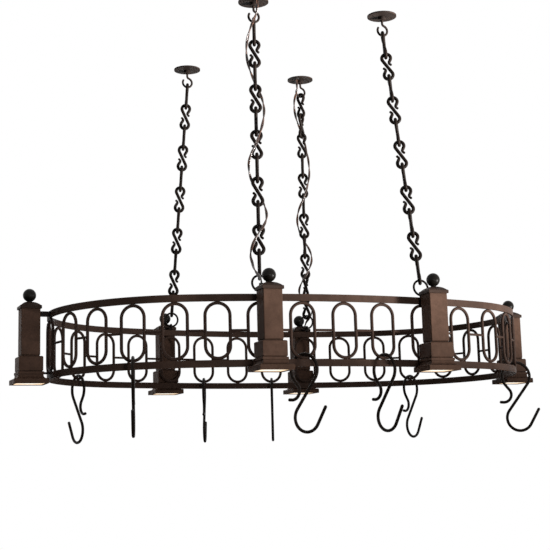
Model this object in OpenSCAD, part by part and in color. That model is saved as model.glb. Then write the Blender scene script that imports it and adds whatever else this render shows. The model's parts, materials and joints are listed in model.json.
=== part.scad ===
// Hanging oval pot rack: two oval bands joined by a frieze of upright oval
// rings, six square lamp posts, four chains of S-links and eight pot hooks.
// Millimetres, +Z up. The origin lies in the ceiling plane, midway between
// the four ceiling plates; the long side of the oval runs along X.

/* [Bands] */
// half length of the oval, to the middle of the flat bar
oval_half_length = 530; // [515:1:534]
// half width of the oval, to the middle of the flat bar
oval_half_width = 342; // [336:1:345]
// radius of the two end arcs of the oval
end_arc_radius = 308; // [300:1:312]
// height of the flat bar of both bands
band_height = 14; // [10:0.5:18]
// thickness of the flat bar of both bands
band_thickness = 5; // [4:0.5:6]
// height of the middle of the upper band above the post bases' undersides
upper_band_level = 146.3; // [144:0.1:148]
// height of the middle of the lower band above the post bases' undersides
lower_band_level = 18.2; // [18:0.1:19]

/* [Frieze] */
// number of upright oval rings, a multiple of four
oval_count = 32; // [28:4:36]
// rod diameter of the oval rings
oval_rod = 6.5; // [4.5:0.5:7]
// distance between the two legs of an oval ring, middle to middle
oval_width = 48.5; // [44:0.5:52]
// rod diameter of the spacer bars
spacer_rod = 5; // [4:0.5:5]

/* [Posts] */
// distance of the end posts from the middle of the rack
end_post_reach = 574.5; // [572:0.5:590]
// distance of the side posts from the middle, along the rack
side_post_along = 178; // [170:1:190]
// distance of the side posts from the middle, across the rack
side_post_across = 365; // [364:0.5:370]
// width of the square tube of a post
tube_width = 39.4; // [38:0.2:42]
// wall of the square tube
tube_wall = 2; // [1.5:0.5:3]
// width of the flange at the foot of a base
base_width = 70; // [66:1:74]
// diameter of the ball on a post
ball_diameter = 27.5; // [24:0.5:30]

/* [Chains] */
// number of links in a chain, an odd number
link_count = 11; // [9:2:13]
// distance from one link's contact to the next
link_pitch = 51; // [49:1:54]
// wire diameter of a link
link_wire = 5; // [4:0.5:5.5]
// middle radius of a link's two loops
loop_radius = 9.5; // [9:0.5:10]
// middle radius of the round ring below a chain
ring_radius = 16; // [14:0.5:18]
// wire diameter of the round ring
ring_wire = 4.5; // [4:0.5:5]
// distance of a ceiling hook from the middle, along the rack
ceiling_hook_along = 150; // [130:1:178]
// distance of a ceiling hook from the middle, across the rack
ceiling_hook_across = 240; // [200:1:300]

/* [Pot hooks] */
// rod diameter of a pot hook
hook_rod = 5; // [4:0.5:6]
// middle radius of the arch that straddles the lower band
arch_radius = 30; // [28:0.5:32]
// middle radius of the round that carries a pan
throat_radius = 28; // [24:0.5:30]
// how far the middle of the throat lies below the middle of the arch
throat_drop = 93; // [85:1:100]
// how far the middle of the throat lies to the side of the arch
throat_offset = 4.1; // [2:0.1:8]

/* [Lamps] */
// side of the square frosted glass in a base
glass_width = 62; // [60:0.5:63]
// thickness of the frosted glass
glass_thickness = 3; // [2:0.5:4]
// diameter of a lamp cord
cord_diameter = 4.8; // [4:0.2:5]

/* [Hidden] */
$fn = 48;

// the oval as four arcs: side arcs of side_r about (0, -+side_c), end arcs about (+-end_c, 0)
end_c = oval_half_length - end_arc_radius;
side_r = (pow(end_c, 2) + pow(oval_half_width, 2) - pow(end_arc_radius, 2))
    / (2 * (oval_half_width - end_arc_radius));
side_c = side_r - oval_half_width;
side_sweep = atan2(end_c, side_c);
end_len = end_arc_radius * (90 - side_sweep) * PI / 180;
side_len = side_r * side_sweep * PI / 180;
quarter_len = end_len + side_len;
quarter_count = oval_count / 4;

// direction of the outward normal, s millimetres along the first quarter from the +X tip
function quarter_angle(s) =
    s <= end_len ? s / end_arc_radius * 180 / PI : 90 - (quarter_len - s) / side_r * 180 / PI;
function quarter_point(s) =
    let (a = quarter_angle(s))
    s <= end_len ? [end_c + end_arc_radius * cos(a), end_arc_radius * sin(a)]
    : [side_r * cos(a), side_r * sin(a) - side_c];
// how far the front rings, from the -X tip on, stand off the even spacing towards +X
front_shift = [18, 13, 8, 4, -2, -7, -11, -12, -16, -10, 3, 6];
function front_step(i) =
    let (k = i - 2 * quarter_count - 1) k >= 0 && k < len(front_shift) ? front_shift[k] : 0;
// station i of the oval rings, counted from the +X tip towards +Y
function fold(i) = let (m = i % (2 * quarter_count)) m <= quarter_count ? m : 2 * quarter_count - m;
function sign_x(i) = (i > quarter_count && i <= 3 * quarter_count) ? -1 : 1;
function sign_y(i) = i > 2 * quarter_count ? -1 : 1;
function station_s(i) =
    fold(i) * quarter_len / quarter_count + (i > 3 * quarter_count ? -1 : 1) * front_step(i);
function station_point(i) =
    let (p = quarter_point(station_s(i))) [sign_x(i) * p.x, sign_y(i) * p.y];
function station_angle(i) =
    let (a = quarter_angle(station_s(i))) atan2(sign_y(i) * sin(a), sign_x(i) * cos(a));

// levels above the undersides of the bases
band_gap_low = lower_band_level + band_height / 2;
band_gap_high = upper_band_level - band_height / 2;
oval_r = oval_width / 2;
spacer_level = (band_gap_low + band_gap_high) / 2;
flange_top = 10.8;
cove_top = 21;
ledge_top = 25;
groove_top = 27;
collar_top = 57;
tube_low = 60;
cap_low = 156;
cap_high = 163;
dome_high = 171.5;
ball_level = 185;
eye_level = 159;

// half widths of the post's mouldings
flange_round = 2;
cove_foot_half = 32;
cove_half = 25.5;
ledge_half = 26.5;
collar_half = 25;
collar_round = 3;
groove_half = 23.8;
neck_half = 18.6;
spigot_half = 17.4;
spigot_len = 15;
lip_half = 22.2;
lip_round = 2;
dome_half = 20;
plug_len = 6;
edge_round = 1.5;
glass_low = 1.5;
cavity_half = 29;
cavity_top = 9;
bulb_half = 21;
bulb_top = 25;
bulb_r = 7;
bulb_neck_r = 5;
bulb_level = 14.2;
socket_r = 10;
socket_low = 17.5;
socket_depth = 4.8;
wire_r = 2;
wire_bore = 6;
stud_r = 3;
ball_neck_r = 5.5;
standoff_width = 14;
standoff_height = 10;

// play of loose and of close fits, overlap of joined shapes, gap between butted lengths of rod
play = 0.2;
fit = 0.05;
overlap = 1;
butt_gap = 0.02;
peg_share = 0.7;
peg_len = 1.2;
key_len = 8;
key_inset = 2;

// posts 1 and 4 at the ends, 2 and 3 at the front, 6 and 5 at the back
post_xy = [
    [-end_post_reach, 0], [-side_post_along, -side_post_across], [side_post_along, -side_post_across],
    [end_post_reach, 0], [side_post_along, side_post_across], [-side_post_along, side_post_across]
];
// the four suspension corners as signs of X and Y: front left, front right, back left, back right
corners = [[-1, -1], [1, -1], [-1, 1], [1, 1]];
corner_names = ["fl", "fr", "bl", "br"];
// the sign of Y towards the rack's middle, 0 at an end post
function inward(i) = -sign(post_xy[i].y);

// eye bolts
eye_rod_r = 2;
eye_hole_r = 4;
eye_across = 313;
eye_depth = 12;
eye_sink = 0.5;

// chains: each runs from the contact in its eye to the contact on its ceiling hook
pivot_gap = 0.5;
link_gap = 0.3;
ring_inner = ring_radius - ring_wire / 2;
chain_len = 2 * ring_inner - pivot_gap + link_count * link_pitch - link_gap;
eye_contact_level = eye_level + eye_hole_r;
lean_x = side_post_along - ceiling_hook_along;
lean_y = eye_across - ceiling_hook_across;
chain_rise = sqrt(pow(chain_len, 2) - pow(lean_x, 2) - pow(lean_y, 2));
tilt_y = asin(lean_y / chain_len);
tilt_x = atan2(lean_x, chain_rise);
link_reach = link_pitch / 2 + link_wire / 2 + link_gap / 2 - loop_radius;
spine_tilt = asin(loop_radius / link_reach);
loop_end = -51;
curl_r = 4;
curl_sweep = 75;

// ceiling fittings, levels below the ceiling
hook_bow_r = 11.5;
hook_neck_r = 6;
hook_wire_r = 2.5;
hook_contact_drop = 43.5;
hook_bow_drop = hook_contact_drop + hook_wire_r - hook_bow_r;
hook_neck_drop = hook_bow_drop - sqrt(pow(hook_bow_r + hook_neck_r, 2) - pow(hook_neck_r, 2));
hook_neck_angle = atan2(hook_bow_drop - hook_neck_drop, hook_neck_r);
hook_tip_angle = 210;
thread_r = 3;
thread_low = 12;
plate_r = 32;
plate_thick = 3;
boss_r = 8;
boss_low = 10;
screw_spacing = 44;
screw_hole_r = 2.25;
cord_hole_offset = 22;

// height of the ceiling plane above the undersides of the bases
drop = eye_contact_level + chain_rise + hook_contact_drop;

// pot hooks: station and compass direction of the throat, from the photo
hook_station = [13, 19, 9, 7, 23, 25, 3, 30];
hook_turn = [104, -106, 69, 69, -56, -73, 31, -21];
rest_gap = 0.3;
rest_level = band_gap_low + oval_rod;
arch_level = rest_level + rest_gap - arch_radius + hook_rod / 2;
tail_centre = [-29, -40];
tail_r = 17;
tail_len = 6;
tail_end = -95;
lip_angle = 30;
lip_len = 38;

// bushings of the cords
bushing_r = 4.9;
bushing_hole_r = 3.9;
bushing_flange_r = 6.2;
bushing_flange_h = 3;
post_bushing_offset = [11, 13];
post_bushing_low = 158;
post_bushing_high = 170.5;
corded_posts = [1, 4];
function bushing_place(i) = inward(i) * [-post_bushing_offset.x, post_bushing_offset.y];

// cords: turn angle of the winding over the height above the eye contact
cord_r = cord_diameter / 2;
wind_r = 16.5;
wind_step = 12;
wind_high = 600;
wind_fl = [[70, -201], [114, -111], [153, -21], [208, 69], [258, 159], [306, 249], [383, 339], [600, 630]];
wind_br = [[44, -21], [67, 69], [89, 159], [127, 249], [175, 339], [221, 429], [271, 519], [322, 609],
    [397, 699], [500, 789], [565, 879], [600, 945]];
// hand-laid lead from the post bushing to the winding, levels above the bases' undersides
lead_fl = [[-189, -352, 160], [-189, -352, 170], [-189, -350, 178], [-190, -342, 186],
    [-191, -330, 195], [-191, -316, 206], [-190, -305, 219]];
lead_br = [[189, 352, 160], [189, 352, 171], [190, 345, 180], [192, 334, 187], [193, 322, 194],
    [192, 311, 201]];
cord_sides = 10;

iron = [0.20, 0.15, 0.13];
lit_iron = [0.39, 0.29, 0.24];
dark_iron = [0.10, 0.09, 0.08];
cord_brown = [0.26, 0.14, 0.09];
frosted = [0.98, 0.90, 0.80];
ceramic = [0.85, 0.84, 0.80];
grommet = [0.07, 0.06, 0.06];

// ---------------------------------------------------------------- helpers

// rod bent in the X-Z plane about centre c, from angle a0 over a sweep
module bend(c, radius, a0, sweep, r) {
    translate([c.x, 0, c.y])
        rotate([90, 0, 0])
            rotate([0, 0, a0])
                rotate_extrude(angle = sweep)
                    translate([radius, 0])
                        circle(r = r, $fn = 24);
}

// straight rod in the X-Z plane from point p to point q
module bar(p, q, r) {
    d = q - p;
    translate([p.x, 0, p.y])
        rotate([0, 90 - atan2(d.y, d.x), 0])
            cylinder(r = r, h = norm(d), $fn = 24);
}

// domed end of a rod in the X-Z plane
module rod_end(p, heading, r) {
    translate([p.x, 0, p.y])
        rotate([0, 90 - heading, 0])
            rotate_extrude($fn = 24)
                intersection() {
                    circle(r = r, $fn = 24);
                    square([r, r]);
                }
}

// A bent rod is a chain of steps: [0, length] runs straight, [radius, angle] turns left or, with
// a negative angle, right. Neighbouring lengths are butted with a hair's gap and pegged together.
function turned(heading, step) = step[0] == 0 ? heading : heading + step[1];
function across(heading) = [-sin(heading), cos(heading)];
function stepped(p, heading, step) =
    step[0] == 0 ? p + step[1] * [cos(heading), sin(heading)]
    : p + sign(step[1]) * step[0] * (across(heading) - across(turned(heading, step)));

module peg(p, heading, r) {
    translate([p.x, 0, p.y])
        rotate([0, 90 - heading, 0])
            cylinder(r = peg_share * r, h = peg_len, center = true, $fn = 24);
}

module rod_step(p, heading, step, r) {
    q = stepped(p, heading, step);
    trim = butt_gap / 2;
    if (step[0] == 0) {
        along = trim * [cos(heading), sin(heading)];
        bar(p + along, q - along, r);
    } else {
        c = p + sign(step[1]) * step[0] * across(heading);
        trim_angle = trim / step[0] * 180 / PI;
        first = heading - sign(step[1]) * 90 + min(step[1], 0);
        bend(c, step[0], first + trim_angle, abs(step[1]) - 2 * trim_angle, r);
    }
}

// the steps from point p on, then the domed end
module rod(p, heading, steps, r) {
    q = stepped(p, heading, steps[0]);
    next = turned(heading, steps[0]);
    rod_step(p, heading, steps[0], r);
    peg(q, next, r);
    if (len(steps) > 1)
        rod(q, next, [for (i = [1 : len(steps) - 1]) steps[i]], r);
    else
        rod_end(q + butt_gap / 2 * [cos(next), sin(next)], next, r);
}

module rounded_square(half, round) {
    square([2 * half, 2 * (half - round)], center = true);
    square([2 * (half - round), 2 * half], center = true);
    for (sx = [-1, 1], sy = [-1, 1])
        translate([sx * (half - round), sy * (half - round)])
            circle(r = round);
}

// a moulding with the same profile on all four sides
module square_turned(reach) {
    intersection() {
        rotate([90, 0, 0])
            linear_extrude(height = 2 * reach, center = true)
                children();
        rotate([90, 0, 90])
            linear_extrude(height = 2 * reach, center = true)
                children();
    }
}

module at_post(i) {
    translate([post_xy[i].x, post_xy[i].y, -drop])
        children();
}

// frame of a chain: origin in the eye's contact, +Z along the chain
module at_chain(c) {
    translate([c.x * side_post_along, c.y * eye_across, eye_contact_level - drop])
        rotate([c.y * tilt_y, -c.x * tilt_x, 0])
            children();
}

// ---------------------------------------------------------------- bands and frieze

// the four arcs of a band, pegged together end to end
module band(level) {
    module slice(radius, sweep) {
        trim_angle = butt_gap / radius * 180 / PI;
        rotate([0, 0, 90 - sweep / 2 + trim_angle / 2])
            rotate_extrude(angle = sweep - trim_angle, $fn = 180)
                translate([radius - band_thickness / 2, 0])
                    square([band_thickness, band_height]);
    }
    translate([0, 0, level - band_height / 2 - drop])
        for (turn = [0, 180])
            rotate([0, 0, turn]) {
                translate([end_c, 0, 0])
                    rotate([0, 0, -90])
                        slice(end_arc_radius, 180 - 2 * side_sweep);
                translate([0, -side_c, 0])
                    slice(side_r, 2 * side_sweep);
                for (s = [-1, 1])
                    translate([0, -side_c, 0])
                        rotate([0, 0, s * side_sweep])
                            translate([-key_len / 2, side_r - band_thickness / 4, key_inset])
                                cube([key_len, band_thickness / 2, band_height - 2 * key_inset]);
            }
}

module upper_band() {
    color(lit_iron)
        band(upper_band_level);
}

module lower_band() {
    color(lit_iron)
        band(lower_band_level);
}

module oval_ring(i) {
    low = band_gap_low + oval_rod / 2 + oval_r;
    high = band_gap_high - oval_rod / 2 - oval_r;
    p = station_point(i);
    translate([p.x, p.y, -drop])
        rotate([0, 0, station_angle(i) + 90]) {
            bend([0, high], oval_r, 0, 180, oval_rod / 2);
            bend([0, low], oval_r, 180, 180, oval_rod / 2);
            for (s = [-1, 1])
                bar([s * oval_r, low], [s * oval_r, high], oval_rod / 2);
        }
}

function leg_point(i, side) =
    let (p = station_point(i % oval_count), a = station_angle(i % oval_count))
    p + side * oval_r * [-sin(a), cos(a)];

module spacer(i) {
    p = leg_point(i, 1);
    q = leg_point(i + 1, -1);
    d = q - p;
    difference() {
        translate([p.x, p.y, spacer_level - drop])
            rotate([0, 90, atan2(d.y, d.x)])
                cylinder(d = spacer_rod, h = norm(d), $fn = 24);
        for (e = [p, q])
            translate([e.x, e.y, spacer_level - drop - spacer_rod])
                cylinder(r = oval_rod / 2 + fit, h = 2 * spacer_rod, $fn = 24);
    }
}

module half_of_ovals(first) {
    for (i = [first : first + oval_count / 2 - 1])
        color(i % 2 == 0 ? iron : lit_iron)
            oval_ring(i);
}

module half_of_spacers(first) {
    color(iron)
        for (i = [first : first + oval_count / 2 - 1])
            spacer(i);
}

// ---------------------------------------------------------------- posts

// part of a profile, symmetric about the axis, between two levels
module slab(half, low, high) {
    translate([-half, low])
        square([2 * half, high - low]);
}

// the same with its two upper corners rounded
module shoulder(half, low, high, round) {
    slab(half, low, high - round);
    slab(half - round, low, high);
    for (s = [-1, 1])
        translate([s * (half - round), high - round])
            circle(r = round);
}

module base_profile() {
    cove_r = cove_foot_half - cove_half;
    shoulder(base_width / 2, -flange_top, flange_top, flange_round);
    difference() {
        slab(cove_foot_half, flange_top - overlap, flange_top + cove_r);
        for (s = [-1, 1])
            translate([s * cove_foot_half, flange_top + cove_r])
                circle(r = cove_r);
    }
    slab(cove_half, flange_top, cove_top);
    slab(ledge_half, cove_top - overlap, ledge_top);
    slab(groove_half, ledge_top - overlap, groove_top + overlap);
    shoulder(collar_half, groove_top, collar_top, collar_round);
    slab(neck_half, collar_top - overlap, tube_low);
    slab(spigot_half, tube_low - overlap, tube_low + spigot_len);
}

// square pocket from below the underside up to a level
module pocket(half, top) {
    translate([-half, -half, -overlap])
        cube([2 * half, 2 * half, top + overlap]);
}

module base(i) {
    color(lit_iron)
        at_post(i)
            difference() {
                intersection() {
                    square_turned(base_width)
                        base_profile();
                    translate([-base_width, -base_width, 0])
                        cube([2 * base_width, 2 * base_width, 2 * tube_low]);
                }
                pocket(glass_width / 2 + play, glass_low + glass_thickness);
                pocket(cavity_half, cavity_top);
                pocket(bulb_half, bulb_top);
                cylinder(r = wire_bore, h = 2 * tube_low);
            }
}

module tube(i) {
    color(lit_iron)
        at_post(i)
            translate([0, 0, tube_low])
                linear_extrude(height = cap_low - tube_low)
                    difference() {
                        rounded_square(tube_width / 2, edge_round);
                        square(tube_width - 2 * tube_wall, center = true);
                    }
}

module cap_profile() {
    rise = dome_high - cap_high;
    dome_r = (pow(dome_half, 2) + pow(rise, 2)) / (2 * rise);
    slab(tube_width / 2 - tube_wall - play, cap_low - plug_len, cap_low + overlap);
    shoulder(lip_half, cap_low, cap_high, lip_round);
    intersection() {
        translate([0, dome_high - dome_r])
            circle(r = dome_r, $fn = 96);
        slab(dome_half, cap_high - overlap, dome_high + overlap);
    }
}

module cap_bore(p, r) {
    translate([p.x, p.y, cap_low - plug_len - overlap])
        cylinder(r = r, h = dome_high - cap_low + plug_len + 2 * overlap);
}

// a side post's cap takes an eye bolt, and two of them a cord's bushing
module cap(i) {
    color(iron)
        at_post(i)
            difference() {
                square_turned(2 * lip_half)
                    cap_profile();
                cap_bore([0, 0], stud_r + fit);
                if (inward(i) != 0)
                    translate([0, inward(i) * (lip_half + overlap), eye_level])
                        rotate([inward(i) * 90, 0, 0])
                            cylinder(r = eye_rod_r + fit, h = eye_depth + overlap, $fn = 24);
                if (len(search(i, corded_posts)) > 0)
                    cap_bore(bushing_place(i), bushing_r + fit);
            }
}

module finial(i) {
    color(dark_iron)
        at_post(i) {
            translate([0, 0, ball_level])
                sphere(d = ball_diameter);
            translate([0, 0, dome_high])
                cylinder(r = ball_neck_r, h = ball_level - dome_high - ball_diameter / 4);
            translate([0, 0, cap_low - plug_len + overlap])
                cylinder(r = stud_r, h = ball_level - cap_low + plug_len - overlap);
        }
}

module at_each_post() {
    for (i = [0 : len(post_xy) - 1])
        at_post(i)
            children();
}

module lamp_glasses() {
    color(frosted)
        at_each_post()
            translate([-glass_width / 2, -glass_width / 2, glass_low])
                cube([glass_width, glass_width, glass_thickness]);
}

module lamp_bulbs() {
    color(frosted)
        at_each_post()
            translate([0, 0, bulb_level]) {
                sphere(r = bulb_r);
                cylinder(r = bulb_neck_r, h = socket_low + socket_depth - bulb_level - fit);
            }
}

module lamp_sockets() {
    color(ceramic)
        at_each_post()
            translate([0, 0, socket_low])
                difference() {
                    cylinder(r = socket_r, h = bulb_top - socket_low);
                    translate([0, 0, -overlap])
                        cylinder(r = bulb_r + play, h = socket_depth + overlap);
                    cylinder(r = wire_r, h = bulb_top);
                }
}

// blocks that bridge the upper band to the tubes and the lower band to the bases' ledges
module standoffs() {
    outer = band_thickness / 2 + fit;
    side_reach = side_post_across - oval_half_width + 2 * standoff_width;
    end_reach = end_post_reach - oval_half_length + standoff_width / 2;
    color(iron) {
        for (sx = [-1, 1], sy = [-1, 1])
            difference() {
                translate([sx * side_post_along, sy * side_post_across, -drop])
                    rotate([0, 0, sy * -90])
                        standoff_pair(side_reach);
                translate([0, sy * -side_c, -2 * drop])
                    cylinder(r = side_r + outer, h = 2 * drop, $fn = 360);
            }
        for (s = [-1, 1])
            difference() {
                translate([s * end_post_reach, 0, -drop])
                    rotate([0, 0, 90 - s * 90])
                        mirror([1, 0, 0])
                            standoff_pair(end_reach);
                translate([s * end_c, 0, -2 * drop])
                    cylinder(r = end_arc_radius + outer, h = 2 * drop, $fn = 180);
            }
    }
}

// the two blocks of a post, reaching along +X from its axis
module standoff_pair(reach) {
    translate([tube_width / 2, -standoff_width / 2, upper_band_level - standoff_height / 2])
        cube([reach - tube_width / 2, standoff_width, standoff_height]);
    translate([ledge_half, -standoff_width / 2, cove_top + play])
        cube([reach - ledge_half, standoff_width, ledge_top - cove_top - 2 * play]);
}

// ---------------------------------------------------------------- suspension

module eye_bolts() {
    color(iron)
        for (c = corners)
            eye_bolt(c);
}

module eye_bolt(c) {
    loop_r = eye_hole_r + eye_rod_r;
    shank = side_post_across - lip_half + eye_depth - overlap - eye_across;
    translate([c.x * side_post_along, c.y * eye_across, eye_level - drop]) {
        rotate([0, 90, 0])
            rotate_extrude()
                translate([loop_r, 0])
                    circle(r = eye_rod_r, $fn = 24);
        translate([0, c.y * (loop_r - eye_sink), 0])
            rotate([-c.y * 90, 0, 0])
                cylinder(r = eye_rod_r - 2 * fit, h = shank - loop_r, $fn = 24);
    }
}

// one S-link in the X-Z plane about the origin: a straight spine, a loop over each end and a
// small outward curl at each tip
module s_link() {
    spine = link_reach * cos(spine_tilt);
    loop_turn = 180 + spine_tilt - loop_end;
    for (turn = [0, 180])
        rotate([0, turn, 0])
            rod([0, 0], 90 + spine_tilt, [[0, spine], [loop_radius, -loop_turn], [curl_r, curl_sweep]],
                link_wire / 2);
    peg([0, 0], 90 + spine_tilt, link_wire / 2);
}

module chain(c) {
    color(iron)
        at_chain(c)
            for (i = [0 : link_count - 1])
                translate([0, 0, 2 * ring_inner - pivot_gap - link_gap / 2 + (i + 0.5) * link_pitch])
                    rotate([0, 0, i % 2 == 0 ? 90 : 0])
                        s_link();
}

module chain_ring(c) {
    color(iron)
        at_chain(c)
            translate([0, 0, ring_inner - pivot_gap])
                rotate([90, 0, 0])
                    rotate_extrude()
                        translate([ring_radius, 0])
                            circle(d = ring_wire, $fn = 24);
}

module at_ceiling(c) {
    translate([c.x * ceiling_hook_along, c.y * ceiling_hook_across, 0])
        children();
}

function cord_hole(c) =
    c == corners[0] ? [0, -cord_hole_offset] : cord_hole_offset * [cos(225), sin(225)];

module ceiling_plates() {
    color(iron)
        for (c = corners)
            ceiling_plate(c);
}

module ceiling_plate(c) {
    at_ceiling(c)
        difference() {
            union() {
                translate([0, 0, -plate_thick])
                    cylinder(r = plate_r, h = plate_thick, $fn = 96);
                translate([0, 0, -boss_low])
                    cylinder(r = boss_r, h = boss_low);
            }
            translate([0, 0, -boss_low - overlap])
                cylinder(r = thread_r + fit, h = boss_low + 2 * overlap);
            for (s = [-1, 1])
                translate([s * screw_spacing / 2, 0, -boss_low])
                    cylinder(r = screw_hole_r, h = boss_low + overlap);
            if (c.x == c.y)
                translate([cord_hole(c).x, cord_hole(c).y, -boss_low])
                    cylinder(r = bushing_r + fit, h = boss_low + overlap);
        }
}

module ceiling_hooks() {
    color(iron)
        for (c = corners)
            ceiling_hook(c);
}

module ceiling_hook(c) {
    at_ceiling(c) {
        rod([0, -thread_low], -90,
            [[0, hook_neck_drop - thread_low], [hook_neck_r, hook_neck_angle],
             [hook_bow_r, -hook_neck_angle - hook_tip_angle]],
            hook_wire_r);
        translate([0, 0, -thread_low - overlap])
            cylinder(r = thread_r, h = thread_low + overlap / 2);
    }
}

// ---------------------------------------------------------------- pot hooks

// Laid from the tip of the short tail: the tail's curl, the arch over the band, the long leg,
// the throat and the straight lip. The centre of gravity hangs below the middle of the arch.
module pot_hook(k) {
    p = station_point(hook_station[k]);
    r = hook_rod / 2;
    throat = [throat_offset, -throat_drop];
    long_leg = sqrt(pow(norm(throat), 2) - pow(arch_radius + throat_radius, 2));
    long_heading = atan2(throat.y, throat.x) - asin((arch_radius + throat_radius) / norm(throat));
    short_leg = sqrt(pow(norm(tail_centre), 2) - pow(arch_radius + tail_r, 2));
    short_heading = atan2(tail_centre.y, tail_centre.x) + asin((arch_radius + tail_r) / norm(tail_centre));
    start_heading = tail_end + 90;
    start = tail_centre - tail_r * across(start_heading)
        - tail_len * [cos(start_heading), sin(start_heading)];
    color(iron)
        translate([p.x, p.y, arch_level - drop])
            rotate([0, 0, hook_turn[k]]) {
                rod(start, start_heading,
                    [[0, tail_len], [tail_r, short_heading + 180 - start_heading], [0, short_leg],
                     [arch_radius, long_heading - short_heading - 180], [0, long_leg],
                     [throat_radius, 90 - lip_angle - long_heading], [0, lip_len]],
                    r);
                peg(start, start_heading, r);
                rod_end(start - butt_gap / 2 * [cos(start_heading), sin(start_heading)],
                    start_heading + 180, r);
            }
}

// ---------------------------------------------------------------- cords

// point of a winding, h millimetres up the chain's line from the eye
function wind_point(c, knots, h) =
    let (a = lookup(h, knots), t = h / chain_len)
    [c.x * (side_post_along - lean_x * t) + wind_r * cos(a),
     c.y * (eye_across - lean_y * t) + wind_r * sin(a),
     eye_contact_level - drop + chain_rise * t];
function lowered(p) = [p.x, p.y, p.z - drop];
function cord_route(c, knots, lead) =
    let (h0 = knots[0][0], steps = floor((wind_high - h0) / wind_step), hole = cord_hole(c))
    concat(
        [for (p = lead) lowered(p)],
        [for (i = [0 : steps]) wind_point(c, knots, h0 + i * wind_step)],
        [for (z = [-20, -8, -1])
            [c.x * ceiling_hook_along + hole.x, c.y * ceiling_hook_across + hole.y, z]]
    );

// round tube through the points of a route that never runs along X
module swept_tube(route, r) {
    n = len(route);
    m = cord_sides;
    function unit(v) = v / norm(v);
    function heading(i) = unit(route[min(i + 1, n - 1)] - route[max(i - 1, 0)]);
    function side(i) = unit([1, 0, 0] - heading(i).x * heading(i));
    points = [for (i = [0 : n - 1], j = [0 : m - 1])
        let (s = side(i), b = cross(heading(i), s), a = 360 * j / m)
        route[i] + r * (cos(a) * s + sin(a) * b)];
    walls = [for (i = [0 : n - 2], j = [0 : m - 1])
        [i * m + j, (i + 1) * m + j, (i + 1) * m + (j + 1) % m, i * m + (j + 1) % m]];
    polyhedron(points, concat(
        walls,
        [[for (j = [0 : m - 1]) j]],
        [[for (j = [0 : m - 1]) n * m - 1 - j]]
    ));
}

module cord(c, knots, lead) {
    color(cord_brown)
        swept_tube(cord_route(c, knots, lead), cord_r);
}

module post_bushings() {
    color(grommet)
        for (i = corded_posts)
            at_post(i)
                translate([bushing_place(i).x, bushing_place(i).y, post_bushing_low])
                    difference() {
                        cylinder(r = bushing_r, h = post_bushing_high - post_bushing_low);
                        translate([0, 0, -overlap])
                            cylinder(r = bushing_hole_r, h = post_bushing_high);
                    }
}

module ceiling_bushings() {
    color(grommet)
        for (c = [corners[0], corners[3]])
            ceiling_bushing(c);
}

module ceiling_bushing(c) {
    at_ceiling(c)
        translate([cord_hole(c).x, cord_hole(c).y, 0])
            difference() {
                union() {
                    translate([0, 0, -plate_thick - bushing_flange_h])
                        cylinder(r = bushing_flange_r, h = bushing_flange_h);
                    translate([0, 0, -plate_thick - overlap])
                        cylinder(r = bushing_r, h = plate_thick + overlap);
                }
                translate([0, 0, -boss_low])
                    cylinder(r = bushing_hole_r, h = 2 * boss_low);
            }
}

// ---------------------------------------------------------------- nodes

upper_band();
lower_band();
half_of_ovals(oval_count / 2);  // ovals_front
half_of_ovals(0);  // ovals_back
half_of_spacers(oval_count / 2);  // spacers_front
half_of_spacers(0);  // spacers_back
standoffs();
eye_bolts();
post_bushings();
for (i = [0 : len(post_xy) - 1]) {
    base(i);
    tube(i);
    cap(i);
    finial(i);
}
lamp_glasses();
lamp_bulbs();
lamp_sockets();
for (k = [0 : len(corners) - 1]) {
    chain(corners[k]);
    chain_ring(corners[k]);
}
ceiling_plates();
ceiling_hooks();
ceiling_bushings();
for (k = [0 : len(hook_station) - 1])
    pot_hook(k);
cord(corners[0], wind_fl, lead_fl);  // cord_fl
cord(corners[3], wind_br, lead_br);  // cord_br
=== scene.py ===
import json
import math

import bpy
from mathutils import Matrix, Vector


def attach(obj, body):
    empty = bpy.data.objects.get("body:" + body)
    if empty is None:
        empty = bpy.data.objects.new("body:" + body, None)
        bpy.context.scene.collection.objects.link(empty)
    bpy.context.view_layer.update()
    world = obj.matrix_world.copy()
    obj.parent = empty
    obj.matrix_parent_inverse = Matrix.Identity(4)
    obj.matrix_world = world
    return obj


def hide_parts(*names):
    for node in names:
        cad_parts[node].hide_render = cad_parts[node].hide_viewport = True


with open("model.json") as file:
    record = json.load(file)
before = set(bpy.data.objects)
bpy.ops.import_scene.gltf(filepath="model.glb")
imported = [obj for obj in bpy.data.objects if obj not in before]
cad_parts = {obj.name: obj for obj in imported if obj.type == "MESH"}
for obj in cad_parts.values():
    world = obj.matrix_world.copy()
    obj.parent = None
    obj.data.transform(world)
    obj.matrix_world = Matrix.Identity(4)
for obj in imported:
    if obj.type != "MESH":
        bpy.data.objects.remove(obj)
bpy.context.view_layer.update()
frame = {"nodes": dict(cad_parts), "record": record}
NODES = frame["nodes"]
MM = 0.001

# ---------------------------------------------------------------- sizes, as in the CAD source

DROP = 788.976 * MM
SIDE_POST = (178 * MM, 365 * MM)
END_POST = 574.5 * MM
POSTS = [
    (-END_POST, 0.0), (-SIDE_POST[0], -SIDE_POST[1]), (SIDE_POST[0], -SIDE_POST[1]),
    (END_POST, 0.0), (SIDE_POST[0], SIDE_POST[1]), (-SIDE_POST[0], SIDE_POST[1]),
]
GLASS_LEVEL = 2.5 * MM
# where a chain's ring hangs on its eye bolt, above the posts' undersides
EYE_ACROSS = 313 * MM
EYE_CONTACT_LEVEL = 163 * MM
# where a chain's top link hangs on its ceiling hook, below the ceiling
PLATE_ALONG = 150 * MM
PLATE_ACROSS = 240 * MM
CEILING_CONTACT_LEVEL = -43.5 * MM
CHAIN_LENGTH = 587.7 * MM
CHAIN_RISE = 582.476 * MM


# ---------------------------------------------------------------- camera

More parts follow.
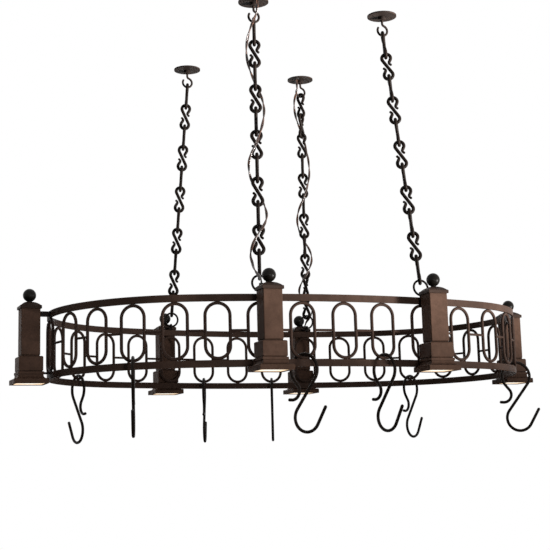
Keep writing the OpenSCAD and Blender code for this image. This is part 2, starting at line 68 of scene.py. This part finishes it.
CAMERA_PLACE = (-1.0270, -2.6021, -0.96488)
CAMERA_YAW = math.radians(-21.02)
CAMERA_PITCH = math.radians(9.908)
CAMERA_ROLL = math.radians(-1.514)
FOCAL_LENGTH = 82.05
SENSOR_WIDTH = 36.0
LENS_SHIFT = (0.0031, -0.0534)


def make_camera():
    """A camera at the photograph's place, below the rack and to its left."""
    data = bpy.data.cameras.new("camera")
    camera = bpy.data.objects.new("camera", data)
    bpy.context.scene.collection.objects.link(camera)
    level = math.cos(CAMERA_PITCH)
    ahead = Vector((
        -math.sin(CAMERA_YAW) * level, math.cos(CAMERA_YAW) * level, math.sin(CAMERA_PITCH),
    ))
    right = Vector((math.cos(CAMERA_YAW), math.sin(CAMERA_YAW), 0.0))
    up = right.cross(ahead)
    x_axis = right * math.cos(CAMERA_ROLL) + up * math.sin(CAMERA_ROLL)
    y_axis = up * math.cos(CAMERA_ROLL) - right * math.sin(CAMERA_ROLL)
    turn = Matrix((x_axis, y_axis, -ahead)).transposed().to_4x4()
    camera.matrix_world = Matrix.Translation(CAMERA_PLACE) @ turn
    data.sensor_width = SENSOR_WIDTH
    data.sensor_fit = "HORIZONTAL"
    data.lens = FOCAL_LENGTH
    data.shift_x, data.shift_y = LENS_SHIFT
    data.clip_start = 0.05
    data.clip_end = 60.0
    bpy.context.scene.camera = camera


# ---------------------------------------------------------------- node helpers

class Shader:
    """A material's node tree with short calls for the nodes that the finishes share."""

    def __init__(self, name):
        self.material = bpy.data.materials.new(name)
        self.material.use_nodes = True
        self.tree = self.material.node_tree
        self.tree.nodes.clear()
        self.out = self.node("ShaderNodeOutputMaterial")
        self.place = self.node("ShaderNodeTexCoord").outputs["Object"]

    def node(self, kind, **values):
        made = self.tree.nodes.new(kind)
        for key, value in values.items():
            setattr(made, key, value)
        return made

    def feed(self, socket, value):
        if isinstance(value, bpy.types.NodeSocket):
            self.tree.links.new(value, socket)
        else:
            socket.default_value = value

    def noise(self, scale, detail=3.0, roughness=0.55):
        made = self.node("ShaderNodeTexNoise")
        self.feed(made.inputs["Vector"], self.place)
        made.inputs["Scale"].default_value = scale
        made.inputs["Detail"].default_value = detail
        made.inputs["Roughness"].default_value = roughness
        return made.outputs["Fac"]

    def spread(self, value, low, high, to_low=0.0, to_high=1.0):
        """Maps a value smoothly from one range to another, clamped at both ends."""
        made = self.node("ShaderNodeMapRange", interpolation_type="SMOOTHSTEP")
        self.feed(made.inputs["Value"], value)
        made.inputs["From Min"].default_value = low
        made.inputs["From Max"].default_value = high
        made.inputs["To Min"].default_value = to_low
        made.inputs["To Max"].default_value = to_high
        return made.outputs["Result"]

    def math(self, operation, a, b=0.0):
        made = self.node("ShaderNodeMath", operation=operation)
        self.feed(made.inputs[0], a)
        self.feed(made.inputs[1], b)
        return made.outputs[0]

    def mix(self, factor, a, b):
        made = self.node("ShaderNodeMix", data_type="RGBA")
        self.feed(made.inputs[0], factor)
        self.feed(made.inputs[6], a if isinstance(a, bpy.types.NodeSocket) else (*a, 1.0))
        self.feed(made.inputs[7], b if isinstance(b, bpy.types.NodeSocket) else (*b, 1.0))
        return made.outputs[2]

    def soft_edges(self, radius):
        """Normal rounded over the edges, and how strongly the surface bends there, from 0 to 1."""
        rounded = self.node("ShaderNodeBevel", samples=6)
        rounded.inputs["Radius"].default_value = radius
        flat = self.node("ShaderNodeNewGeometry").outputs["Normal"]
        dot = self.node("ShaderNodeVectorMath", operation="DOT_PRODUCT")
        self.feed(dot.inputs[0], rounded.outputs["Normal"])
        self.feed(dot.inputs[1], flat)
        bend = self.math("SUBTRACT", 1.0, dot.outputs["Value"])
        return rounded.outputs["Normal"], self.spread(bend, 0.015, 0.16)

    def bump(self, height, distance, strength, normal=None):
        made = self.node("ShaderNodeBump")
        self.feed(made.inputs["Height"], height)
        made.inputs["Distance"].default_value = distance
        made.inputs["Strength"].default_value = strength
        if normal is not None:
            self.feed(made.inputs["Normal"], normal)
        return made.outputs["Normal"]

    def finish(self, color, roughness, normal=None, **constants):
        shader = self.node("ShaderNodeBsdfPrincipled")
        if isinstance(color, tuple):
            color = (*color, 1.0)
        self.feed(shader.inputs["Base Color"], color)
        self.feed(shader.inputs["Roughness"], roughness)
        if normal is not None:
            self.feed(shader.inputs["Normal"], normal)
        for key, value in constants.items():
            shader.inputs[key.replace("_", " ")].default_value = value
        self.feed(self.out.inputs["Surface"], shader.outputs["BSDF"])
        return shader


def tint(color, factor):
    return tuple(min(1.0, c * factor) for c in color)


# ---------------------------------------------------------------- finishes

COPPER = (0.33, 0.15, 0.085)


def bronze(name, base, rough, edge_radius, wear, specular=0.05):
    """Oil-rubbed bronze: a brown coat clouded with black oil, sandy, and rubbed at its edges, with
    painted shade in its crevices.
    """
    s = Shader(name)
    clouds = s.noise(11.0, 4.0, 0.6)
    mottle = s.noise(95.0, 5.0, 0.65)
    sand = s.noise(1400.0, 2.0, 0.6)
    color = s.mix(s.spread(clouds, 0.34, 0.66), tint(base, 0.78), tint(base, 1.16))
    color = s.mix(s.spread(mottle, 0.38, 0.72, 0.0, 0.55), color, tint(base, 0.62))
    flecks = s.spread(s.noise(420.0, 2.0, 0.5), 0.63, 0.72, 0.0, 0.3)
    color = s.mix(flecks, color, tint(base, 1.5))
    rounded, edge = s.soft_edges(edge_radius)
    patches = s.spread(s.noise(60.0, 3.0, 0.7), 0.42, 0.62)
    rubbed = s.math("MULTIPLY", s.math("MULTIPLY", edge, patches), wear)
    color = s.mix(rubbed, color, COPPER)
    # painted shade: where the AO node finds crevices and recesses (under a cap's lip, the groove
    # between tube and collar), the colour darkens towards a quarter of the base
    corners = s.node("ShaderNodeAmbientOcclusion", samples=6)
    corners.inputs["Distance"].default_value = 0.012
    painted_crevice_shade = s.spread(corners.outputs["AO"], 0.45, 0.95, 0.85, 0.0)
    color = s.mix(painted_crevice_shade, color, tint(base, 0.25))
    gloss = s.spread(mottle, 0.3, 0.7, rough + 0.09, rough - 0.07)
    gloss = s.math("SUBTRACT", gloss, s.math("MULTIPLY", rubbed, 0.12))
    grain = s.bump(sand, 0.00012, 0.6, rounded)
    grain = s.bump(mottle, 0.0006, 0.35, grain)
    s.finish(color, gloss, grain, Specular_IOR_Level=specular)
    return s.material


def lamp_glass():
    """Frosted glass, lit from behind: hottest over the bulb, amber towards the frame."""
    s = Shader("frosted_glass")
    nearest = None
    for x, y in POSTS:
        span = s.node("ShaderNodeVectorMath", operation="DISTANCE")
        s.feed(span.inputs[0], s.place)
        span.inputs[1].default_value = (x, y, GLASS_LEVEL - DROP)
        away = span.outputs["Value"]
        nearest = away if nearest is None else s.math("MINIMUM", nearest, away)
    frost = s.noise(900.0, 2.0)
    reach = s.math("ADD", nearest, s.spread(s.noise(45.0), 0.3, 0.7, -0.003, 0.003))
    glow = s.mix(s.spread(reach, 0.006, 0.034), (1.0, 0.93, 0.80), (1.0, 0.70, 0.42))
    shader = s.finish((0.92, 0.88, 0.82), s.spread(frost, 0.3, 0.7, 0.35, 0.55),
                      s.bump(frost, 0.00008, 0.5), Specular_IOR_Level=0.4)
    s.feed(shader.inputs["Emission Color"], glow)
    shader.inputs["Emission Strength"].default_value = 1.15
    return s.material


def bulb_glass():
    s = Shader("bulb_glass")
    frost = s.noise(1200.0, 2.0)
    shader = s.finish((1.0, 0.93, 0.82), s.spread(frost, 0.3, 0.7, 0.3, 0.45),
                      s.bump(frost, 0.00004, 0.3))
    shader.inputs["Emission Color"].default_value = (1.0, 0.83, 0.58, 1.0)
    shader.inputs["Emission Strength"].default_value = 4.0
    return s.material


def glazed_ceramic():
    s = Shader("ceramic")
    stain = s.spread(s.noise(140.0, 4.0), 0.45, 0.75)
    color = s.mix(stain, (0.80, 0.78, 0.72), (0.62, 0.56, 0.46))
    s.finish(color, s.spread(s.noise(300.0), 0.3, 0.7, 0.22, 0.4),
             s.bump(s.noise(700.0), 0.00005, 0.4))
    return s.material


def grommet_rubber():
    s = Shader("grommet")
    dust = s.spread(s.noise(500.0, 4.0), 0.5, 0.75, 0.0, 0.5)
    color = s.mix(dust, (0.018, 0.016, 0.015), (0.07, 0.062, 0.055))
    s.finish(color, s.spread(dust, 0.0, 0.5, 0.55, 0.75), s.bump(s.noise(1600.0), 0.00006, 0.5),
             Specular_IOR_Level=0.3)
    return s.material


def cord_sleeve():
    """Brown see-through lamp cord whose copper strands shine through in streaks."""
    s = Shader("cord")
    streak = s.noise(210.0, 3.0, 0.7)
    color = s.mix(s.spread(streak, 0.50, 0.72), (0.042, 0.019, 0.012), (0.24, 0.095, 0.046))
    color = s.mix(s.spread(s.noise(26.0), 0.4, 0.6, 0.0, 0.6), color, (0.035, 0.018, 0.012))
    s.finish(color, s.spread(streak, 0.3, 0.7, 0.34, 0.24), s.bump(streak, 0.00015, 0.4),
             Specular_IOR_Level=0.5, Coat_Weight=0.35, Coat_Roughness=0.2)
    return s.material


# base colour, roughness, radius of the worn edges, wear and, where it isn't the usual, specular
IRONS = {
    "band_iron": ((0.100, 0.060, 0.045), 0.50, 0.0012, 0.8),
    "rod_iron": ((0.092, 0.056, 0.043), 0.50, 0.0006, 0.3),
    "dark_iron": ((0.030, 0.022, 0.019), 0.48, 0.0009, 0.4),
    "post_iron": ((0.155, 0.088, 0.062), 0.52, 0.0014, 0.55),
    "cap_iron": ((0.075, 0.048, 0.038), 0.46, 0.0014, 0.3),
    "ball_iron": ((0.012, 0.010, 0.008), 0.34, 0.0008, 0.2, 0.1),
    "chain_iron": ((0.016, 0.011, 0.009), 0.40, 0.0006, 0.2),
    "hook_iron": ((0.026, 0.018, 0.014), 0.40, 0.0006, 0.3, 0.06),
}
OTHERS = {
    "frosted_glass": lamp_glass,
    "bulb_glass": bulb_glass,
    "ceramic": glazed_ceramic,
    "grommet": grommet_rubber,
    "cord": cord_sleeve,
}


def make_finishes():
    made = {name: bronze(name, *values) for name, values in IRONS.items()}
    made.update({name: make() for name, make in OTHERS.items()})
    return made


def dress_nodes(materials):
    """Each CAD node gets the finish of its slot in the record."""
    slots = {part["node"]: part["material_slot"] for part in frame["record"]["subparts"]}
    for name, piece in NODES.items():
        for holder in piece.material_slots:
            holder.material = materials[slots[name]]


# ---------------------------------------------------------------- cords

# radius of a core, its centre's distance from the cord's, and the length of a full twist
CORD_CORE = 1.5 * MM
CORD_APART = 1.4 * MM
CORD_TWIST = 85 * MM
CORD_SIDES = 10
SMOOTH_PARTS = 4
# wide enough for the links below, which are thicker than the CAD's
WIND_RADIUS = 17 * MM
WIND_STEP = 12
WIND_HIGH = 600
# height along the chain in mm and turn round it in degrees, as in the CAD source
WIND_FL = [
    (70, -201), (114, -111), (153, -21), (208, 69), (258, 159), (306, 249), (383, 339), (600, 630),
]
WIND_BR = [
    (44, -21), (67, 69), (89, 159), (127, 249), (175, 339), (221, 429), (271, 519), (322, 609),
    (397, 699), (500, 789), (565, 879), (600, 945),
]
# leads from the post's bushing to the winding, in mm above the posts' undersides
LEAD_FL = [
    (-189, -352, 160), (-189, -352, 170), (-189, -350, 178), (-190, -342, 186),
    (-191, -330, 195), (-191, -316, 206), (-190, -305, 219),
]
LEAD_BR = [
    (189, 352, 160), (189, 352, 171), (190, 345, 180), (192, 334, 187), (193, 322, 194),
    (192, 311, 201),
]
# the plate's hole for a cord, in mm from the plate's centre, and levels on the way up into it
PLATE_HOLE_OUT = 22.0
PLATE_LEVELS = (-20, -8, -1)


def looked_up(knots, h):
    """Turn angle at a height, straight from one knot to the next."""
    for (h0, a0), (h1, a1) in zip(knots, knots[1:]):
        if h <= h1:
            return a0 + (a1 - a0) * (h - h0) / (h1 - h0)
    return knots[-1][1]


def cord_route(sign, knots, lead, hole):
    """The lead out of the post, the winding round the chain and the way into the plate."""
    route = [Vector((x, y, z)) * MM - Vector((0, 0, DROP)) for x, y, z in lead]
    h = knots[0][0]
    while h <= WIND_HIGH:
        a = math.radians(looked_up(knots, h))
        t = h * MM / CHAIN_LENGTH
        route.append(Vector((
            sign * (SIDE_POST[0] - (SIDE_POST[0] - PLATE_ALONG) * t) + WIND_RADIUS * math.cos(a),
            sign * (EYE_ACROSS - (EYE_ACROSS - PLATE_ACROSS) * t) + WIND_RADIUS * math.sin(a),
            EYE_CONTACT_LEVEL - DROP + CHAIN_RISE * t,
        )))
        h += WIND_STEP
    plate = Vector((sign * PLATE_ALONG, sign * PLATE_ACROSS, 0))
    for z in PLATE_LEVELS:
        route.append(plate + Vector((hole[0], hole[1], z)) * MM)
    return route


def smoothed(route, parts):
    """Points on a smooth curve through a route, with some between each two of its points."""
    points = []
    for i in range(len(route) - 1):
        p0, p1, p2, p3 = (route[max(0, min(len(route) - 1, i + k))] for k in (-1, 0, 1, 2))
        for j in range(parts):
            t = j / parts
            points.append(0.5 * (2 * p1 + (p2 - p0) * t + (2 * p0 - 5 * p1 + 4 * p2 - p3) * t * t
                                 + (3 * p1 - p0 - 3 * p2 + p3) * t ** 3))
    return points + [route[-1]]


def swept(name, strands, sides=12):
    """One mesh of round rods, each with its points, a radius for each and a first sideways way."""
    verts, faces = [], []
    for points, radii, side in strands:
        start = len(verts)
        for i, p in enumerate(points):
            ahead = (points[min(i + 1, len(points) - 1)] - points[max(i - 1, 0)]).normalized()
            side = (side - ahead * side.dot(ahead)).normalized()
            other = ahead.cross(side)
            for j in range(sides):
                a = 2 * math.pi * j / sides
                verts.append(p + radii[i] * (math.cos(a) * side + math.sin(a) * other))
        for i in range(len(points) - 1):
            for j in range(sides):
                k = (j + 1) % sides
                low, high = start + i * sides, start + (i + 1) * sides
                faces.append((low + j, low + k, high + k, high + j))
        faces.append(tuple(start + j for j in reversed(range(sides))))
        faces.append(tuple(start + (len(points) - 1) * sides + j for j in range(sides)))
    mesh = bpy.data.meshes.new(name)
    mesh.from_pydata([tuple(v) for v in verts], [], faces)
    mesh.polygons.foreach_set("use_smooth", [len(face) == 4 for face in faces])
    mesh.update()
    made = bpy.data.objects.new(name, mesh)
    bpy.context.scene.collection.objects.link(made)
    return made


def twin_cord(name, node, body, route, material):
    """Two cores side by side that turn slowly about each other along the route."""
    middle = smoothed(route, SMOOTH_PARTS)
    cores = ([], [])
    along = 0.0
    side = Vector((1, 0, 0))
    for i, p in enumerate(middle):
        ahead = (middle[min(i + 1, len(middle) - 1)] - middle[max(i - 1, 0)]).normalized()
        side = (side - ahead * side.dot(ahead)).normalized()
        if i:
            along += (p - middle[i - 1]).length
        a = 2 * math.pi * along / CORD_TWIST
        offset = CORD_APART * (math.cos(a) * side + math.sin(a) * ahead.cross(side))
        cores[0].append(p + offset)
        cores[1].append(p - offset)
    strands = [(core, [CORD_CORE] * len(core), Vector((1, 0, 0))) for core in cores]
    piece = swept(name, strands, CORD_SIDES)
    piece.data.materials.append(material)
    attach(piece, body)
    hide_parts(node)


def make_cords(material):
    diagonal = -PLATE_HOLE_OUT * math.cos(math.radians(45))
    twin_cord("lamp_cord_fl", "cord_fl", "chain_fl_body",
              cord_route(-1, WIND_FL, LEAD_FL, (0.0, -PLATE_HOLE_OUT)), material)
    twin_cord("lamp_cord_br", "cord_br", "chain_br_body",
              cord_route(1, WIND_BR, LEAD_BR, (diagonal, diagonal)), material)


# ---------------------------------------------------------------- bent rods: links and pot hooks

# sizes in mm; x to the right and y up in a link's or a hook's own plane
CORNERS = {"fl": (-1, -1), "fr": (1, -1), "bl": (-1, 1), "br": (1, 1)}
RING_INNER = 13.75
PIVOT_GAP = 0.5
LINK_COUNT = 11
LINK_PITCH = 51.0
LINK_WIRE = 7.4
LINK_GAP = 0.3
LOOP_RADIUS = 9.5
TIP_STRAIGHT = 6.0
TIP_RADIUS = 4.5
TIP_TURN = 80
TIP_TAPER = 1.2
TIP_BALL = 2.9
BALL_RINGS = 6
BALL_SWEEP = math.radians(174)
# compass directions in degrees of each chain's even and odd links, from its ring up
LINK_TURNS = {
    "fl": [(70, -20)] * 6,
    "fr": [(64, -26), (66, -26), (63, -25), (60, -27), (66, -30), (68, -24)],
    "bl": [(73, -17)] * 6,
    "br": [(-62, 38), (-38, 62), (-23, 69), (-21, 69), (-36, 41), (-62, 41)],
}
HOOK_SIDES = 16
HOOK_WIRE = 6.4
HOOK_INNER = 27.5
HOOK_TOP = 4.5
THROAT_RADIUS = 28.0
THROAT_CENTRE = Vector((4.1, -92.2))
THROAT_TURN = 60
POINT_LENGTH = 38
TAIL_RADIUS = 17.0
TAIL_CENTRE = Vector((-29.0, -40.0))
TAIL_WAY = math.radians(-5)
TAIL_LENGTH = 6
# compass directions in degrees of the hooks' planes
HOOK_TURNS = [104, -106, 69, 69, -56, -73, 31, -21]
# how far a rod's softened end has narrowed at each ring of its mesh, and how short it is
END_SHARES = (0.3, 0.6, 0.85, 0.985)
END_SHORTNESS = 0.25


def bent(start, heading, steps, every=7.0):
    """Points and end heading of a rod. A step is (0, length) or (radius, turn to the left)."""
    points = [Vector(start)]
    for radius, amount in steps:
        p = points[-1].copy()
        pieces = max(2, int(abs(amount) / every) + 1)
        for j in range(1, pieces + 1):
            part = amount * j / pieces
            if radius == 0:
                points.append(p + part * Vector((math.cos(heading), math.sin(heading))))
            else:
                turned = heading + math.radians(part)
                swing = Vector((
                    math.sin(turned) - math.sin(heading), math.cos(heading) - math.cos(turned),
                ))
                points.append(p + math.copysign(radius, amount) * swing)
        if radius:
            heading += math.radians(amount)
    return points, heading


def ball_end(points, radii, heading, ball):
    """Adds a small ball to the end of a rod."""
    end, neck = points[-1], radii[-1]
    first = math.asin(min(1.0, neck / ball))
    centre = ball * math.cos(first) + 0.02
    way = Vector((math.cos(heading), math.sin(heading)))
    for k in range(1, BALL_RINGS + 1):
        a = first + (BALL_SWEEP - first) * k / BALL_RINGS
        points.append(end + (centre - ball * math.cos(a)) * way)
        radii.append(ball * math.sin(a))


def s_link():
    """Centre line and radii of an S-link: nearly closed loops whose tips end in small balls."""
    reach = LINK_PITCH / 2 + LINK_WIRE / 2 + LINK_GAP / 2 - LOOP_RADIUS
    tilt = math.asin(LOOP_RADIUS / reach)
    sweep = 180 + 2 * math.degrees(tilt)
    body, heading = bent((0, 0), math.pi / 2 + tilt, [
        (0, reach * math.cos(tilt)), (LOOP_RADIUS, -sweep),
    ])
    tail, heading = bent(body[-1], heading, [(0, TIP_STRAIGHT), (TIP_RADIUS, TIP_TURN)])
    half = body + tail[1:]
    radii = [LINK_WIRE / 2] * len(body)
    for k in range(1, len(tail)):
        radii.append(LINK_WIRE / 2 - TIP_TAPER * k / (len(tail) - 1))
    ball_end(half, radii, heading, TIP_BALL)
    other = [-p for p in reversed(half[1:])]
    return other + half, radii[:0:-1] + radii


def laid(points, origin, along_u, along_v):
    """Plane points in mm, placed in space on two directions."""
    return [origin + (p.x * along_u + p.y * along_v) * MM for p in points]


def make_chains(material):
    """The S-links of each chain as one piece, threaded from its ring to its ceiling hook."""
    line, radii = s_link()
    radii = [r * MM for r in radii]
    for name, (sx, sy) in CORNERS.items():
        eye = Vector((sx * SIDE_POST[0], sy * EYE_ACROSS, EYE_CONTACT_LEVEL - DROP))
        top = Vector((sx * PLATE_ALONG, sy * PLATE_ACROSS, CEILING_CONTACT_LEVEL))
        ahead = (top - eye).normalized()
        strands = []
        for i in range(LINK_COUNT):
            turn = math.radians(LINK_TURNS[name][i // 2][i % 2])
            across = Vector((math.cos(turn), math.sin(turn), 0))
            across = (across - ahead * across.dot(ahead)).normalized()
            along = 2 * RING_INNER - PIVOT_GAP - LINK_GAP / 2 + (i + 0.5) * LINK_PITCH
            points = laid(line, eye + ahead * along * MM, across, ahead)
            strands.append((points, radii, across.cross(ahead)))
        links = swept("links_" + name, strands)
        links.data.materials.append(material)
        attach(links, "chain_%s_body" % name)
        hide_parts("chain_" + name)


def hook_line():
    """Centre line and radii of a pot hook, its arch about the origin, both ends softened."""
    arch = HOOK_INNER + HOOK_WIRE / 2
    throat, tail = THROAT_CENTRE, TAIL_CENTRE
    long_leg = math.sqrt(throat.length ** 2 - (arch + THROAT_RADIUS) ** 2)
    long_way = math.atan2(throat.y, throat.x) - math.asin((arch + THROAT_RADIUS) / throat.length)
    short_leg = math.sqrt(tail.length ** 2 - (arch + TAIL_RADIUS) ** 2)
    short_way = math.atan2(tail.y, tail.x) + math.asin((arch + TAIL_RADIUS) / tail.length)
    start = tail - TAIL_RADIUS * Vector((-math.sin(TAIL_WAY), math.cos(TAIL_WAY)))
    start = start - TAIL_LENGTH * Vector((math.cos(TAIL_WAY), math.sin(TAIL_WAY)))
    line, heading = bent(start, TAIL_WAY, [
        (0, TAIL_LENGTH), (TAIL_RADIUS, math.degrees(short_way - TAIL_WAY) + 180), (0, short_leg),
        (arch, math.degrees(long_way - short_way) - 180), (0, long_leg),
        (THROAT_RADIUS, THROAT_TURN - math.degrees(long_way)), (0, POINT_LENGTH),
    ], 5.0)
    wire = HOOK_WIRE / 2
    radii = [wire] * len(line)
    for at_tail, way in ((False, heading), (True, TAIL_WAY + math.pi)):
        for share in END_SHARES:
            end = line[0] if at_tail else line[-1]
            ahead = math.sin(math.acos(1 - share)) if share < END_SHARES[-1] else 1.0
            step = wire * ahead * END_SHORTNESS
            point = end + step * Vector((math.cos(way), math.sin(way)))
            place = 0 if at_tail else len(line)
            line.insert(place, point)
            radii.insert(place, wire * (1 - share ** 3))
    return line, [r * MM for r in radii]


def make_hooks(material):
    """Pot hooks from one rod each, hung where the record's joints are."""
    line, radii = hook_line()
    up = Vector((0, 0, 1))
    joints = {joint["child"]: joint for joint in frame["record"]["behaviour"]["joints"]}
    for k, turn in enumerate(HOOK_TURNS):
        place = joints["pot_hook_%d" % (k + 1)]["pos_m"]
        across = Vector((math.cos(math.radians(turn)), math.sin(math.radians(turn)), 0))
        origin = Vector((place[0], place[1], HOOK_TOP * MM - DROP))
        strand = (laid(line, origin, across, up), radii, across.cross(up))
        rod = swept("pot_hook_rod_%d" % (k + 1), [strand], HOOK_SIDES)
        rod.data.materials.append(material)
        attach(rod, "pot_hook_%d" % (k + 1))
        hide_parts("hook_%d" % (k + 1))


# ---------------------------------------------------------------- floor, world and lamps

FLOOR_LEVEL = -2.6
FLOOR_REACH = 9.0
FLOOR_GLOW = 0.72
FAINT_LIGHT = 0.02


def make_floor():
    """A wide pale floor a room's height below the ceiling."""
    s = Shader("floor")
    color = s.mix(s.spread(s.noise(3.0), 0.3, 0.7), (0.84, 0.84, 0.84), (0.88, 0.88, 0.88))
    shader = s.finish(color, s.spread(s.noise(20.0), 0.3, 0.7, 0.6, 0.7), Specular_IOR_Level=0.1)
    shader.inputs["Emission Color"].default_value = (1.0, 1.0, 1.0, 1.0)
    seen = s.node("ShaderNodeLightPath").outputs["Is Camera Ray"]
    s.feed(shader.inputs["Emission Strength"], s.math("MULTIPLY", seen, FLOOR_GLOW))
    corners = ((-1, -1), (1, -1), (1, 1), (-1, 1))
    mesh = bpy.data.meshes.new("floor")
    mesh.from_pydata([(x * FLOOR_REACH, y * FLOOR_REACH, FLOOR_LEVEL) for x, y in corners],
                     [], [(0, 1, 2, 3)])
    floor = bpy.data.objects.new("floor", mesh)
    bpy.context.scene.collection.objects.link(floor)
    floor.data.materials.append(s.material)


def make_world():
    """White to the camera and in glossy and clear surfaces, and a faint grey light on the rest."""
    world = bpy.data.worlds.new("studio")
    bpy.context.scene.world = world
    world.use_nodes = True
    tree = world.node_tree
    tree.nodes.clear()
    out = tree.nodes.new("ShaderNodeOutputWorld")
    mix = tree.nodes.new("ShaderNodeMixShader")
    path = tree.nodes.new("ShaderNodeLightPath")
    seen = path.outputs["Is Camera Ray"]
    for kind in ("Is Glossy Ray", "Is Transmission Ray"):
        either = tree.nodes.new("ShaderNodeMath")
        either.operation = "MAXIMUM"
        tree.links.new(seen, either.inputs[0])
        tree.links.new(path.outputs[kind], either.inputs[1])
        seen = either.outputs[0]
    tree.links.new(seen, mix.inputs["Fac"])
    for socket, strength in ((mix.inputs[1], FAINT_LIGHT), (mix.inputs[2], 1.0)):
        background = tree.nodes.new("ShaderNodeBackground")
        background.inputs["Color"].default_value = (1.0, 1.0, 1.0, 1.0)
        background.inputs["Strength"].default_value = strength
        tree.links.new(background.outputs[0], socket)
    tree.links.new(mix.outputs[0], out.inputs["Surface"])


def softbox(name, place, aim, size, watts, spread=180, color=(1.0, 1.0, 1.0)):
    """A rectangular lamp at a place, turned to a point, its light held to a spread in degrees."""
    data = bpy.data.lights.new(name, "AREA")
    data.shape = "RECTANGLE"
    data.size, data.size_y = size
    data.energy = watts
    data.spread = math.radians(spread)
    data.color = color
    lamp = bpy.data.objects.new(name, data)
    bpy.context.scene.collection.objects.link(lamp)
    lamp.location = place
    lamp.rotation_euler = (Vector(aim) - Vector(place)).to_track_quat("-Z", "Y").to_euler()


def make_lamps():
    """The key shines up from the right below, past the rack, so the light falls off to the left."""
    softbox("key", (2.35, -2.25, -1.30), (2.07, -2.25, 0.70), (0.5, 0.5), 1350.0, 150,
            (1.0, 0.985, 0.96))
    softbox("fill", (-1.9, -2.6, -0.3), (-0.4, -0.1, -0.7), (1.0, 1.0), 0.25, 90)
    softbox("front", (-0.10, -2.60, -1.00), (-0.40, -0.20, -0.70), (0.3, 0.6), 1.3, 60)
    softbox("overhead", (0.2, 0.3, 1.6), (0.0, 0.0, -0.7), (1.6, 1.2), 1.8)
    softbox("rear", (0.9, 3.0, 0.3), (0.0, 0.2, -0.7), (1.4, 1.2), 15.0)


# ---------------------------------------------------------------- scene

make_camera()
finishes = make_finishes()
make_cords(finishes["cord"])
make_chains(finishes["chain_iron"])
make_hooks(finishes["hook_iron"])
dress_nodes(finishes)
make_floor()
make_world()
make_lamps()
bpy.context.scene.view_settings.view_transform = "Standard"
